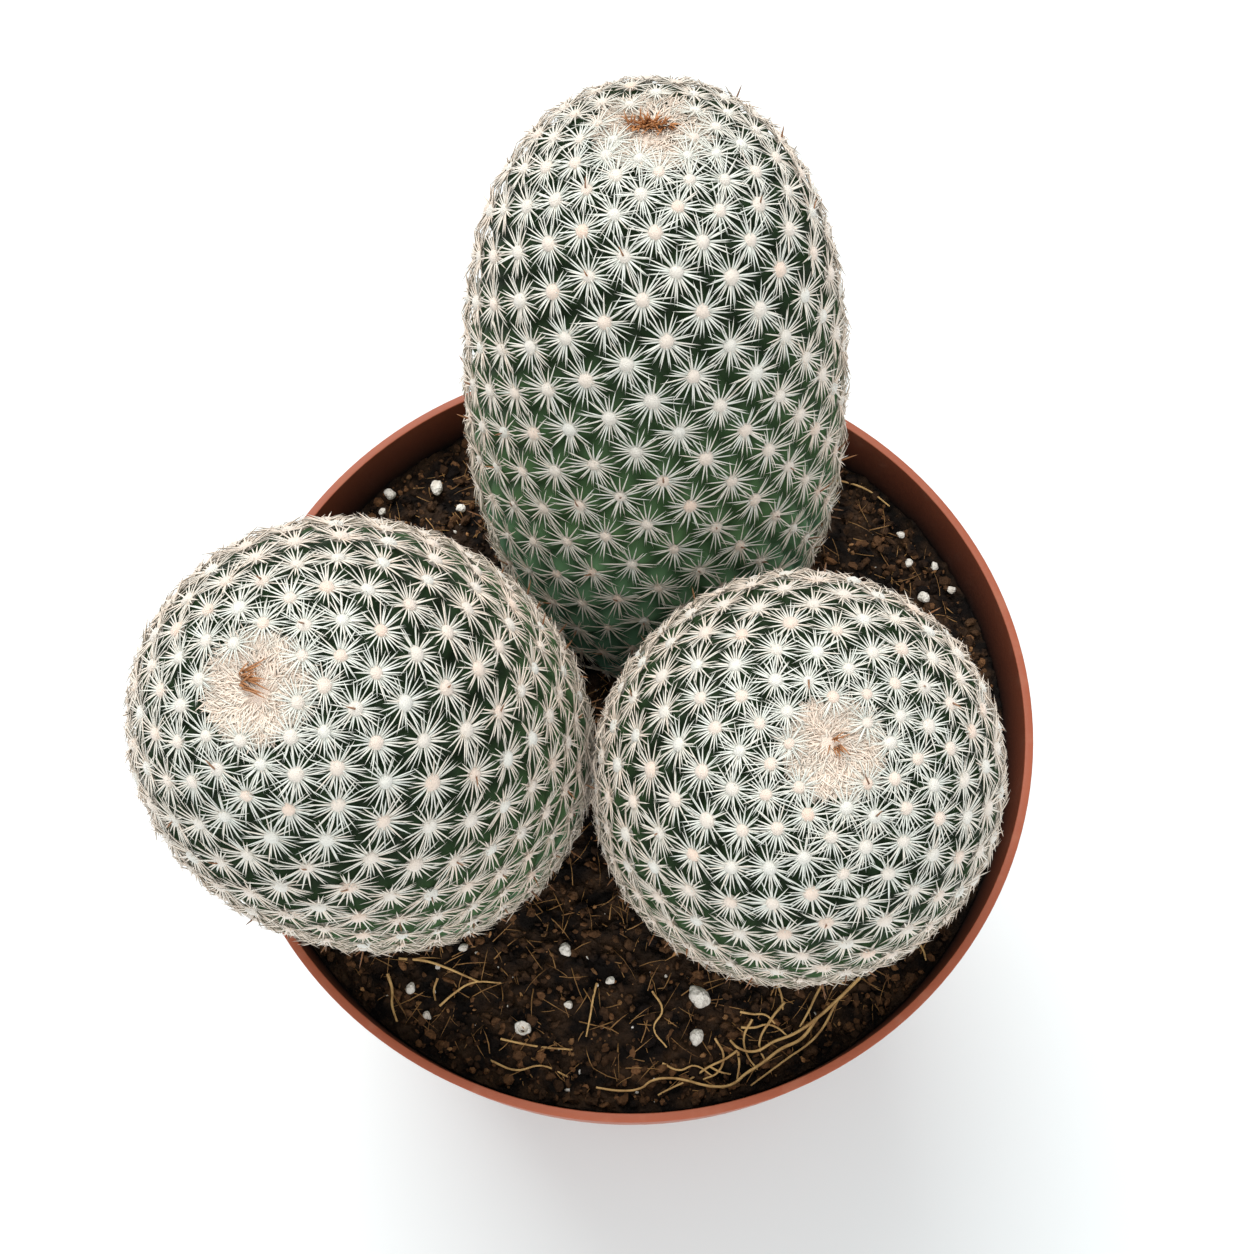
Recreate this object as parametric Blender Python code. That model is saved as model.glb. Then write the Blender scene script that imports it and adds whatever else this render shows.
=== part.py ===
"""Three round, white-spined cacti growing together in a thin plastic nursery pot.

Metres, +Z up. The origin is the centre of the pot's flat underside, and -Y is the front.
The stems carry their tubercles (the raised points that the spines grow from) as facets.
"""

import math
from collections import namedtuple

import bmesh
import bpy
import numpy as np
from mathutils import Vector, noise
from mathutils.geometry import delaunay_2d_cdt

MM = 0.001

# Pot: a tapering shell with a turned-out rim band.
POT_HEIGHT = 105 * MM
POT_RIM_RADIUS = 60 * MM
POT_BASE_RADIUS = 43 * MM
POT_WALL = 1.25 * MM
POT_FLOOR = 1.5 * MM
POT_LIP_HEIGHT = 11 * MM
POT_LIP_STEP = 1.6 * MM
POT_LIP_FLARE = 1.3 * MM
POT_SIDES = 72
DRAIN_HOLES = 8
DRAIN_RADIUS = 3.5 * MM
DRAIN_EDGE_MARGIN = 10 * MM

# Soil, and the gap that stands for contact between two touching pieces.
SOIL_DROP = 9 * MM
FIT_GAP = 0.35 * MM

# Stems: distances between neighbouring tubercles and depth of the valleys between them.
TUBERCLE_SPACING = 6.5 * MM
VALLEY_DEPTH = 1.5 * MM
FOOT_DEPTH = 9 * MM
FOOT_SIDES = 28
POCKET_RISE = 14 * MM
PROFILE_STEPS = 800
GOLDEN_ANGLE = math.pi * (3 - math.sqrt(5))

# Each stem stands on foot (x, y), leans towards heading, and bends from lean_foot to lean_top.
# Its side is a shallow barrel from foot_share x radius, and its crown a superellipse cap.
Stem = namedtuple(
    "Stem", "name foot lean_foot lean_top heading length radius crown foot_share crown_power"
)
STEMS = (
    Stem("cactus_back", (4.4 * MM, 23.6 * MM), 22.6, 23, 93, 85.5 * MM, 26.5 * MM, 53 * MM, 0.69, 2.6),
    Stem("cactus_left", (-28.4 * MM, -7.2 * MM), 12, 17, 229, 85.5 * MM, 27.1 * MM, 50 * MM, 0.71, 2.2),
    Stem("cactus_right", (20.3 * MM, -12.8 * MM), 9.5, 10, -72, 67.5 * MM, 26.4 * MM, 35 * MM, 0.67, 2.3),
)

# Perlite grains lying on the soil: x, y and width, in millimetres.
PERLITE = (
    (-38.5, 40, 2.2), (-31, 41, 2.6), (-39.5, 37, 1.5), (-27, 37.5, 1.8), (46, 22, 2.2), (48, 27.5, 1.6),
    (44, 28, 1.6), (50.5, 23.5, 1.5), (43, 33, 1.4), (-9.5, -34, 2.2), (-32, -39.5, 1.9), (-3, -38.5, 1.5),
    (-15.5, -45.5, 2.6), (10, -41, 3.8), (9.5, -46.8, 2.7), (-24.5, -33.5, 1.6), (-9, -42, 1.4), (-29.5, -43.6, 1.4),
)
GRAIN_HEIGHT_SHARE = 0.75
GRAIN_ROUGHNESS = 0.16

# Dry roots lying on the soil: radius, then the points of the route, in millimetres.
ROOTS = (
    (0.35, ((33.4, -38.2), (30, -41.4), (26.7, -44.3), (23.6, -46.3), (20.6, -47.5), (17.9, -48.8),
           (15.5, -48.4), (14.4, -47.2))),
    (0.35, ((24.6, -47.8), (21.5, -49.2), (18.9, -51), (16.7, -52.2), (14.4, -53.5), (12, -53.9),
           (10.2, -53.6), (8, -52.9), (5.5, -52.6), (2.9, -53.1), (1.5, -54), (-1.5, -54.4), (-4.9, -54))),
    (0.3, ((13.6, -49.8), (11.4, -50.8), (9.4, -51.7))),
    (0.25, ((15.9, -42.9), (17.6, -43.2), (19.2, -43))),
    (0.25, ((16, -45.6), (18.4, -45.2), (20.6, -45.6))),
    (0.25, ((21.5, -39), (22, -40.8), (22.1, -42.5))),
    (0.25, ((28.2, -38.4), (26.6, -40.6), (25.4, -42))),
    (0.3, ((-35.4, -37.6), (-34.7, -39.7), (-34.5, -42), (-33.4, -44))),
    (0.25, ((-27.7, -42.2), (-25.7, -40.4), (-23.1, -38.8), (-18.9, -38.6))),
    (0.25, ((-33.9, -35.2), (-30, -35.6), (-26.8, -36.7), (-24.8, -37))),
    (0.25, ((-5.2, -41), (-5.8, -43.4), (-6.4, -46.6))),
    (0.25, ((-12.6, -48.2), (-10.6, -48.2), (-8, -48.7))),
    (0.25, ((33.5, 41.5), (36.8, 41.2), (40.2, 38.2))),
    (0.25, ((42.2, -32.6), (43, -34.8))),
)

SOIL_TOP = POT_HEIGHT - SOIL_DROP


def clear_scene():
    for obj in list(bpy.data.objects):
        bpy.data.objects.remove(obj, do_unlink=True)


def material(name, colour, roughness):
    made = bpy.data.materials.new(name)
    made.use_nodes = True
    shader = made.node_tree.nodes["Principled BSDF"]
    shader.inputs["Base Color"].default_value = (*colour, 1)
    shader.inputs["Roughness"].default_value = roughness
    shader.inputs["Metallic"].default_value = 0
    return made


def add_object(name, bm, finish, smooth_angle=None):
    """Turns a bmesh into a named object with its faces pointing out."""
    bmesh.ops.recalc_face_normals(bm, faces=bm.faces)
    mesh = bpy.data.meshes.new(name)
    bm.to_mesh(mesh)
    bm.free()
    if smooth_angle is not None:
        mesh.shade_smooth()
        mesh.set_sharp_from_angle(angle=smooth_angle)
    mesh.materials.append(finish)
    obj = bpy.data.objects.new(name, mesh)
    bpy.context.scene.collection.objects.link(obj)
    return obj


def turned(name, profile, sides, finish):
    """A solid turned about Z from a profile of (radius, height) that starts and ends on the axis."""
    bm = bmesh.new()
    ends = [bm.verts.new((0, 0, profile[0][1])), bm.verts.new((0, 0, profile[-1][1]))]
    rings = []
    for radius, height in profile[1:-1]:
        angles = [2 * math.pi * side / sides for side in range(sides)]
        rings.append([bm.verts.new((radius * math.cos(a), radius * math.sin(a), height)) for a in angles])
    for side in range(sides):
        after = (side + 1) % sides
        bm.faces.new((ends[0], rings[0][side], rings[0][after]))
        bm.faces.new((ends[1], rings[-1][after], rings[-1][side]))
        for lower, upper in zip(rings, rings[1:]):
            bm.faces.new((lower[side], lower[after], upper[after], upper[side]))
    return add_object(name, bm, finish, math.radians(30))


def cut(target, cutter):
    cutter.hide_render = True
    cutter.display_type = "WIRE"
    boolean = target.modifiers.new("cut_" + cutter.name, "BOOLEAN")
    boolean.operation = "DIFFERENCE"
    boolean.solver = "EXACT"
    boolean.object = cutter


# The pot


def outer_profile():
    """The outside of the pot, from the base up to the rim's outer edge."""
    lip_bottom = POT_HEIGHT - POT_LIP_HEIGHT
    lip_radius = POT_RIM_RADIUS - POT_LIP_FLARE
    return [
        (POT_BASE_RADIUS, 0),
        (lip_radius - POT_LIP_STEP, lip_bottom),
        (lip_radius, lip_bottom),
        (POT_RIM_RADIUS, POT_HEIGHT),
    ]


def inner_profile(gap):
    """The inside of the pot, from the floor up to the rim's inner edge, drawn in by a gap."""
    base, below_lip, lip, rim = outer_profile()
    inset = POT_WALL + gap
    shoulder = below_lip[1] + POT_WALL + gap
    return [
        (base[0] - inset, POT_FLOOR + gap),
        (below_lip[0] - inset, shoulder),
        (lip[0] - inset, shoulder),
        (rim[0] - inset, POT_HEIGHT),
    ]


def wall_radius(height, gap):
    """Inner radius of the rim band at a height, drawn in by a gap."""
    lip, rim = inner_profile(gap)[2:]
    share = (height - lip[1]) / (rim[1] - lip[1])
    return lip[0] + share * (rim[0] - lip[0])


def make_pot():
    inner = inner_profile(0)
    profile = [(0, 0), *outer_profile(), *reversed(inner), (0, POT_FLOOR)]
    pot = turned("pot", profile, POT_SIDES, material("terracotta_plastic", (0.42, 0.12, 0.06), 0.5))
    hole_circle = POT_BASE_RADIUS - DRAIN_EDGE_MARGIN
    for number in range(DRAIN_HOLES):
        angle = 2 * math.pi * (number + 0.5) / DRAIN_HOLES
        bm = bmesh.new()
        bmesh.ops.create_cone(
            bm, cap_ends=True, segments=16, radius1=DRAIN_RADIUS, radius2=DRAIN_RADIUS, depth=4 * POT_FLOOR
        )
        place = Vector((hole_circle * math.cos(angle), hole_circle * math.sin(angle), POT_FLOOR / 2))
        bmesh.ops.translate(bm, verts=bm.verts, vec=place)
        cut(pot, add_object(f"drain_cutter_{number}", bm, pot.data.materials[0]))


# The stems


def side_radius(stem, s):
    """Radius of a stem at a distance s along its axis from the soil."""
    shoulder = stem.length - stem.crown
    if s < shoulder:
        return stem.radius * (1 - (1 - stem.foot_share) * (1 - s / shoulder) ** 2)
    rise = min((s - shoulder) / stem.crown, 1)
    return stem.radius * max(1 - rise**stem.crown_power, 0) ** (1 / stem.crown_power)


def axis_frame(stem, s):
    """Point of the bent axis at s, and the three directions across and along it."""
    heading = math.radians(stem.heading)
    forward = Vector((math.cos(heading), math.sin(heading), 0))
    across = Vector((-math.sin(heading), math.cos(heading), 0))
    half_turn = math.radians(stem.lean_top - stem.lean_foot) * s / stem.length / 2
    chord = s * math.sin(half_turn) / half_turn if abs(half_turn) > 1e-9 else s
    lean = math.radians(stem.lean_foot) + half_turn
    point = Vector((*stem.foot, SOIL_TOP)) + chord * (forward * math.sin(lean) + Vector((0, 0, math.cos(lean))))
    lean += half_turn
    along = forward * math.sin(lean) + Vector((0, 0, math.cos(lean)))
    return point, across, along.cross(across), along


def stem_point(stem, s, angle, radius):
    point, across, out, _ = axis_frame(stem, s)
    return point + radius * (math.cos(angle) * across + math.sin(angle) * out)


def measure_profile(stem):
    """Profile of the stem from crown to foot: s, radius, inward slope, skin area and flat-map radius.

    The flat map unrolls the skin onto a plane without bending its small shapes: a step of d along the
    skin where the radius is r becomes a step of d / r in the logarithm of the flat-map radius.
    """
    turn = np.linspace(1, 0, PROFILE_STEPS)
    s = -FOOT_DEPTH + (stem.length + FOOT_DEPTH) * np.sin(turn * math.pi / 2)
    radius = np.array([side_radius(stem, value) for value in s])
    s, radius = s[1:], radius[1:]
    step = np.hypot(np.diff(s), np.diff(radius))
    middle = (radius[1:] + radius[:-1]) / 2
    area = np.concatenate([[0], np.cumsum(2 * math.pi * middle * step)])
    flat = np.exp(np.concatenate([[0], np.cumsum(step / middle)]))
    slope = np.arctan2(np.gradient(radius), -np.gradient(s))
    return s, radius, slope, area, flat


def skin_point(stem, profile, flat_point, depth):
    """Point of the skin for a point of the flat map, sunk by a depth along the skin's normal."""
    s_values, radii, slopes, _, flat = profile
    s, radius, slope = (float(np.interp(flat_point.length, flat, row)) for row in (s_values, radii, slopes))
    angle = math.atan2(flat_point.y, flat_point.x)
    return stem_point(stem, s - depth * math.sin(slope), angle, max(radius - depth * math.cos(slope), 0))


def triangulate(points):
    return delaunay_2d_cdt(points, [], [], 0, 1e-7)[2]


def make_stem(stem):
    profile = measure_profile(stem)
    s_values, _, _, area, flat = profile
    cell = TUBERCLE_SPACING**2 * math.sqrt(3) / 2
    lowest = np.interp(-FOOT_DEPTH + TUBERCLE_SPACING / 2, s_values[::-1], area[::-1])
    tips = []
    for number in range(int(lowest / cell)):
        reach = float(np.interp((number + 0.5) * cell, area, flat))
        angle = number * GOLDEN_ANGLE
        tips.append(Vector((reach * math.cos(angle), reach * math.sin(angle))))
    foot = []
    for side in range(FOOT_SIDES):
        angle = 2 * math.pi * side / FOOT_SIDES
        foot.append(Vector((flat[-1] * math.cos(angle), flat[-1] * math.sin(angle))))
    valleys = []
    for corners in triangulate(tips + foot):
        if max(corners) < len(tips):
            valleys.append(sum((tips[corner] for corner in corners), Vector((0, 0))) / 3)
    points = tips + valleys + foot
    depths = [0] * len(tips) + [VALLEY_DEPTH] * len(valleys) + [0] * len(foot)
    bm = bmesh.new()
    verts = [bm.verts.new(skin_point(stem, profile, point, depth)) for point, depth in zip(points, depths)]
    for corners in triangulate(points):
        bm.faces.new([verts[corner] for corner in corners])
    bm.faces.new(verts[-FOOT_SIDES:])
    bmesh.ops.triangulate(bm, faces=[face for face in bm.faces if len(face.verts) > 3])
    add_object(stem.name, bm, material("skin_" + stem.name, (0.05, 0.11, 0.05), 0.7))


def make_pocket(stem):
    """Cutter for the hole in the soil that a stem's foot stands in, a fit gap wider than the foot."""
    bm = bmesh.new()
    rings = []
    levels = 8
    for level in range(levels + 1):
        s = -FOOT_DEPTH + (POCKET_RISE + FOOT_DEPTH) * level / levels
        radius = side_radius(stem, s) + FIT_GAP / math.cos(math.pi / FOOT_SIDES)
        if level == 0:
            s -= FIT_GAP
        angles = [2 * math.pi * side / FOOT_SIDES for side in range(FOOT_SIDES)]
        rings.append([bm.verts.new(stem_point(stem, s, angle, radius)) for angle in angles])
    for lower, upper in zip(rings, rings[1:]):
        for side in range(FOOT_SIDES):
            after = (side + 1) % FOOT_SIDES
            bm.faces.new((lower[side], lower[after], upper[after], upper[side]))
    bm.faces.new(rings[0])
    bm.faces.new(rings[-1])
    return add_object("pocket_" + stem.name, bm, bpy.data.materials["peat"])


# Soil, perlite and roots


def make_soil():
    floor, below_lip, lip, _ = inner_profile(FIT_GAP)
    profile = [
        (0, floor[1]),
        floor,
        below_lip,
        lip,
        (wall_radius(SOIL_TOP, FIT_GAP), SOIL_TOP),
        (0, SOIL_TOP),
    ]
    soil = turned("soil", profile, POT_SIDES, material("peat", (0.02, 0.011, 0.006), 0.95))
    for stem in STEMS:
        cut(soil, make_pocket(stem))


def kept_inside(x, y, margin):
    """The place (x, y) in metres, drawn in towards the centre where the pot's wall would touch it."""
    place = Vector((x * MM, y * MM, 0))
    limit = wall_radius(SOIL_TOP, FIT_GAP) - margin
    return place * min(1, limit / place.length)


def make_grain(number, x, y, width, finish):
    bm = bmesh.new()
    bmesh.ops.create_icosphere(bm, subdivisions=2, radius=width * MM / 2)
    for vert in bm.verts:
        vert.co *= 1 + GRAIN_ROUGHNESS * noise.noise(vert.co / (width * MM) * 3 + Vector((number * 7.3, 0, 0)))
        vert.co.z *= GRAIN_HEIGHT_SHARE
    lift = SOIL_TOP + FIT_GAP - min(vert.co.z for vert in bm.verts)
    obj = add_object(f"perlite_{number:02d}", bm, finish, math.radians(60))
    obj.location = kept_inside(x, y, width * MM * 0.6) + Vector((0, 0, lift))


def make_root(number, radius, route, finish):
    curve = bpy.data.curves.new(f"root_{number:02d}", "CURVE")
    curve.dimensions = "3D"
    curve.resolution_u = 2
    curve.bevel_depth = radius * MM
    curve.bevel_resolution = 1
    curve.use_fill_caps = True
    spline = curve.splines.new("BEZIER")
    spline.bezier_points.add(len(route) - 1)
    for point, (x, y) in zip(spline.bezier_points, route):
        place = kept_inside(x, y, radius * MM)
        point.co = place + Vector((0, 0, SOIL_TOP + FIT_GAP + radius * MM))
        point.handle_left_type = "AUTO"
        point.handle_right_type = "AUTO"
    curve.materials.append(finish)
    bpy.context.scene.collection.objects.link(bpy.data.objects.new(curve.name, curve))


def main():
    clear_scene()
    make_pot()
    make_soil()
    for stem in STEMS:
        make_stem(stem)
    grain_finish = material("perlite_white", (0.72, 0.7, 0.64), 0.9)
    for number, (x, y, width) in enumerate(PERLITE, 1):
        make_grain(number, x, y, width, grain_finish)
    root_finish = material("dry_root", (0.52, 0.32, 0.12), 0.6)
    for number, (radius, route) in enumerate(ROOTS, 1):
        make_root(number, radius, route, root_finish)


main()
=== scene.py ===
"""Looks of three round, white-spined cacti in a plastic nursery pot.

Metres, +Z up, -Y the front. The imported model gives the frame: the pot's rim and the top of the soil.
"""

import math
from typing import NamedTuple

import bpy
import numpy as np
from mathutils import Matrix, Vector


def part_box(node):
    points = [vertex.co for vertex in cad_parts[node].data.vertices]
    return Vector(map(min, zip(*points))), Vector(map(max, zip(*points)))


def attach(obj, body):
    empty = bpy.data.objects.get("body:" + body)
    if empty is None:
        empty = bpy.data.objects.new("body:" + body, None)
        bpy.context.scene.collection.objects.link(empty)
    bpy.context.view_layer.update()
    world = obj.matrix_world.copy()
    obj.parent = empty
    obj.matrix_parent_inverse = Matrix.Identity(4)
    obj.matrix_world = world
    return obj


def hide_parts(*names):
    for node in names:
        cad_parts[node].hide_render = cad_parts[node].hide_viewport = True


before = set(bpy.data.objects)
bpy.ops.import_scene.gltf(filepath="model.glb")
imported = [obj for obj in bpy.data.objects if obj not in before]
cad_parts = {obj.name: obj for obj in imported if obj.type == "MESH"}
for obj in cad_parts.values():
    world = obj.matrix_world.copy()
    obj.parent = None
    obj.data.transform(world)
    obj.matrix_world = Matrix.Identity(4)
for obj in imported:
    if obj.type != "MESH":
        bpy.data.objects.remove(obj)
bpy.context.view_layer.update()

MM = 0.001
GOLDEN_ANGLE = math.pi * (3 - math.sqrt(5))
POT_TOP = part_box("pot")[1][2]
POT_RIM_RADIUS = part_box("pot")[1][0]
SOIL_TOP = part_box("soil")[1][2]


# Camera, floor and light

HALF_VIEW = math.radians(17)
SENSOR_WIDTH = 36
# Both from the middle of the pot's rim.
CAMERA_PLACE = Vector((-0.5, -102.5, 288.6)) * MM
CAMERA_AIM = Vector((-0.5, 13.9, 0)) * MM
FLOOR_SIZE = 12
FLOOR_DROP = 0.2 * MM
ROOM_LIGHT = 0.85
PAPER_WHITE = (0.725, 0.775, 0.785, 1)


def set_stage():
    """A camera that looks steeply down on the pot, a pale floor and soft light from the upper left."""
    camera = bpy.data.objects.new("camera", bpy.data.cameras.new("camera"))
    camera.data.sensor_width = SENSOR_WIDTH
    camera.data.lens = SENSOR_WIDTH / 2 / math.tan(HALF_VIEW)
    camera.data.clip_end = 20
    camera.location = CAMERA_PLACE + Vector((0, 0, POT_TOP))
    camera.rotation_euler = (CAMERA_AIM - CAMERA_PLACE).to_track_quat("-Z", "Y").to_euler()
    bpy.context.scene.collection.objects.link(camera)
    bpy.context.scene.camera = camera

    bpy.ops.object.select_all(action="DESELECT")
    bpy.ops.mesh.primitive_plane_add(size=FLOOR_SIZE, location=(0, 0, -FLOOR_DROP))
    floor = bpy.context.object
    floor.name = "floor"
    paper = Finish("pale_floor", {"Base Color": PAPER_WHITE, "Roughness": 0.9})
    floor.data.materials.append(paper.material)

    add_light("key_light", (-0.2, 0.5, 0.95), 0.7, 10, (1, 0.99, 0.97))
    add_light("front_light", (0.05, -0.8, 0.8), 0.9, 5, (1, 1, 1))
    world = bpy.data.worlds.new("studio")
    world.use_nodes = True
    world.node_tree.nodes["Background"].inputs["Color"].default_value = (1, 1, 1, 1)
    world.node_tree.nodes["Background"].inputs["Strength"].default_value = ROOM_LIGHT
    bpy.context.scene.world = world
    bpy.context.scene.view_settings.view_transform = "Standard"


def add_light(name, place, size, power, colour):
    """A square lamp that faces the soil."""
    light = bpy.data.lights.new(name, "AREA")
    light.size = size
    light.energy = power
    light.color = colour
    lamp = bpy.data.objects.new(name, light)
    lamp.location = place
    aim = Vector((0, 0, SOIL_TOP)) - lamp.location
    lamp.rotation_euler = aim.to_track_quat("-Z", "Y").to_euler()
    bpy.context.scene.collection.objects.link(lamp)


# Materials

CLAY = (0.28, 0.068, 0.031, 1)
PALE_CLAY = (0.35, 0.097, 0.049, 1)
CLAY_DUST = (0.42, 0.20, 0.13, 1)
# Painted shade for the pot's inner wall.
PAINTED_SHADE_BROWN = (0.004, 0.002, 0.0015, 1)
WET_PEAT = (0.005, 0.003, 0.002, 1)
PEAT_BROWN = (0.050, 0.025, 0.011, 1)
WET_CRUMB = (0.007, 0.004, 0.003, 1)
CRUMB_BROWN = (0.105, 0.052, 0.023, 1)
WET_BARK = (0.075, 0.036, 0.016, 1)
BARK_BROWN = (0.30, 0.16, 0.07, 1)
# Skin greens: each valley colour is the skin's green darkened by painted shade.
YOUNG_VALLEY_SHADE = (0.003, 0.009, 0.003, 1)
YOUNG_GREEN = (0.013, 0.040, 0.011, 1)
OLD_VALLEY_SHADE = (0.038, 0.090, 0.032, 1)
OLD_GREEN = (0.170, 0.330, 0.140, 1)
FOOT_VALLEY_SHADE = (0.055, 0.150, 0.095, 1)
FOOT_GREEN = (0.250, 0.480, 0.350, 1)
OLIVE_MOTTLE = (0.030, 0.055, 0.018, 1)
SPINE_WHITE = (0.68, 0.71, 0.66, 1)
SPINE_CREAM = (0.84, 0.71, 0.60, 1)
SPINE_HORN = (0.55, 0.50, 0.38, 1)
YOUNG_SPINE = (0.50, 0.21, 0.07, 1)
CENTRAL_BROWN = (0.16, 0.065, 0.03, 1)
SPINE_TAN = (0.50, 0.27, 0.14, 1)
WOOL_WHITE = (0.72, 0.73, 0.68, 1)
WOOL_CREAM = (0.80, 0.63, 0.52, 1)
WOOL_SHADE = (0.50, 0.42, 0.33, 1)
PERLITE_WHITE = (0.93, 0.89, 0.81, 1)
PERLITE_STAIN = (0.50, 0.40, 0.29, 1)
ROOT_GOLD = (0.68, 0.43, 0.17, 1)
ROOT_BARK = (0.30, 0.15, 0.055, 1)
FIBRE_GOLD = (0.46, 0.25, 0.09, 1)
FIBRE_BARK = (0.16, 0.07, 0.03, 1)


class Value:
    """A number that varies over a surface; a sum with it adds a Math node."""

    def __init__(self, finish, socket):
        self.finish = finish
        self.socket = socket

    def maths(self, operation, first, second=0.0):
        return self.finish.node("ShaderNodeMath", {"operation": operation}, {0: first, 1: second})

    def __add__(self, other):
        return self.maths("ADD", self, other)

    def __sub__(self, other):
        return self.maths("SUBTRACT", self, other)

    def __rsub__(self, other):
        return self.maths("SUBTRACT", other, self)

    def __mul__(self, other):
        return self.maths("MULTIPLY", self, other)

    def __pow__(self, other):
        return self.maths("POWER", self, other)

    __radd__ = __add__
    __rmul__ = __mul__


class Finish:
    """One material: its Principled shader, and the nodes that vary its colour, roughness and bump."""

    def __init__(self, name, constants):
        self.material = bpy.data.materials.new(name)
        self.material.use_nodes = True
        self.nodes = self.material.node_tree.nodes
        self.links = self.material.node_tree.links
        self.shader = self.nodes["Principled BSDF"]
        for socket, value in constants.items():
            self.shader.inputs[socket].default_value = value

    def node(self, kind, settings, inputs, output=0):
        made = self.nodes.new(kind)
        for setting, value in settings.items():
            setattr(made, setting, value)
        for socket, value in inputs.items():
            self.feed(made.inputs[socket], value)
        return Value(self, made.outputs[output])

    def feed(self, socket, value):
        if isinstance(value, Value):
            self.links.new(value.socket, socket)
        else:
            socket.default_value = value

    def place(self):
        return self.node("ShaderNodeTexCoord", {}, {}, "Object")

    def noise(self, scale, detail=3, distortion=0.0):
        inputs = {"Vector": self.place(), "Scale": scale, "Detail": detail, "Distortion": distortion}
        return self.node("ShaderNodeTexNoise", {}, inputs, "Fac")

    def cells(self, scale):
        return self.node("ShaderNodeTexVoronoi", {}, {"Vector": self.place(), "Scale": scale}, "Distance")

    def own(self, name):
        """A number kept on the piece's own points."""
        return self.node("ShaderNodeAttribute", {"attribute_name": name}, {}, "Fac")

    def steps(self, value, low, high):
        """The value stretched so that low becomes 0 and high becomes 1, and held there."""
        inputs = {"Value": value, "From Min": low, "From Max": high}
        return self.node("ShaderNodeMapRange", {"clamp": True}, inputs)

    def blend(self, share, first, second):
        return self.node("ShaderNodeMix", {"data_type": "RGBA"}, {0: share, 6: first, 7: second}, 2)

    def colour(self, value):
        self.feed(self.shader.inputs["Base Color"], value)

    def roughness(self, value):
        self.feed(self.shader.inputs["Roughness"], value)

    def bump(self, height, strength, distance):
        inputs = {"Height": height, "Strength": strength, "Distance": distance}
        self.feed(self.shader.inputs["Normal"], self.node("ShaderNodeBump", {}, inputs))


def moulded_plastic():
    """Terracotta-coloured plastic: uneven pigment, dust streaks and a fine moulded grain, with painted shade
    that darkens the inner wall near black.
    """
    finish = Finish("moulded_plastic", {"Specular IOR Level": 0.25})
    cloud = finish.noise(60, 4)
    dust = finish.steps(finish.noise(240, 6, 0.6), 0.55, 0.8)
    pigment = finish.blend(cloud, CLAY, PALE_CLAY)
    dusty = finish.blend(dust * 0.35, pigment, CLAY_DUST)
    # Painted shade: the inner wall is painted near black, and its roughness is raised there too.
    painted_wall_shade = finish.own("painted_wall_shade") * (0.9 + cloud * 0.2)
    finish.colour(finish.blend(painted_wall_shade, dusty, PAINTED_SHADE_BROWN))
    finish.roughness(0.42 + dust * 0.25 + cloud * 0.08 + painted_wall_shade * 0.3)
    finish.bump(finish.noise(1800, 3) + cloud * 2, 0.25, 0.0002)
    return finish.material


def peat(name, dark, light):
    """Damp peat: near-black crumbs with warmer dry patches."""
    finish = Finish(name, {"Specular IOR Level": 0.2})
    patch = finish.steps(finish.noise(260, 6), 0.42, 0.68)
    damp = finish.blend(patch, dark, light)
    dry = (light[0] * 2.2, light[1] * 2.1, light[2] * 2, 1)
    finish.colour(finish.blend(finish.own("tint") ** 4, damp, dry))
    finish.roughness(0.9 - patch * 0.35)
    finish.bump(finish.noise(2500, 6) + finish.cells(900), 0.9, 0.0006)
    return finish.material


def waxy_skin():
    """Cactus skin: the green, darkened in the valleys by painted shade, greener on the tubercles, paler and
    bluer low down.
    """
    finish = Finish("waxy_skin", {"Specular IOR Level": 0.15})
    relief = finish.own("relief")
    age = finish.own("age")
    mottle = finish.noise(420, 5)
    # Painted shade: the colour grows darker towards the valleys between tubercles, by the relief number.
    young = finish.blend(relief, YOUNG_VALLEY_SHADE, YOUNG_GREEN)
    old = finish.blend(relief, OLD_VALLEY_SHADE, OLD_GREEN)
    lowest = finish.blend(relief, FOOT_VALLEY_SHADE, FOOT_GREEN)
    skin = finish.blend(finish.steps(age, 0.3, 0.7), young, old)
    skin = finish.blend(finish.steps(age, 0.6, 0.95), skin, lowest)
    finish.colour(finish.blend(mottle * 0.3, skin, OLIVE_MOTTLE))
    finish.roughness(0.55 + mottle * 0.25)
    finish.bump(finish.noise(3000, 3), 0.2, 0.0002)
    return finish.material


def spine_white():
    """Horny white spines: some are creamier than others, by their own tint, which is partly random and
    partly painted light that makes the flanks turned from SUNNY_SIDE a lighter, warmer cream.
    """
    finish = Finish("spine_white", {"Roughness": 0.5, "Specular IOR Level": 0.35})
    cream = finish.blend(finish.own("tint"), SPINE_WHITE, SPINE_CREAM)
    finish.colour(finish.blend(finish.noise(900, 2) * 0.12, cream, SPINE_HORN))
    return finish.material


def spine_brown():
    """Young crown spines and short centrals: red-brown to dark brown, by their own tint."""
    finish = Finish("spine_brown", {"Roughness": 0.4})
    brown = finish.blend(finish.own("tint"), YOUNG_SPINE, CENTRAL_BROWN)
    finish.colour(finish.blend(finish.noise(1200, 2) * 0.4, brown, SPINE_TAN))
    return finish.material


def areole_wool():
    """Felt on the tubercle tips, from white to a pinkish cream."""
    finish = Finish("areole_wool", {"Roughness": 1.0, "Sheen Weight": 0.4})
    cream = finish.blend(finish.own("tint"), WOOL_WHITE, WOOL_CREAM)
    finish.colour(finish.blend(finish.noise(2600, 4) * 0.3, cream, WOOL_SHADE))
    finish.bump(finish.noise(6000, 4), 0.8, 0.0003)
    return finish.material


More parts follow.
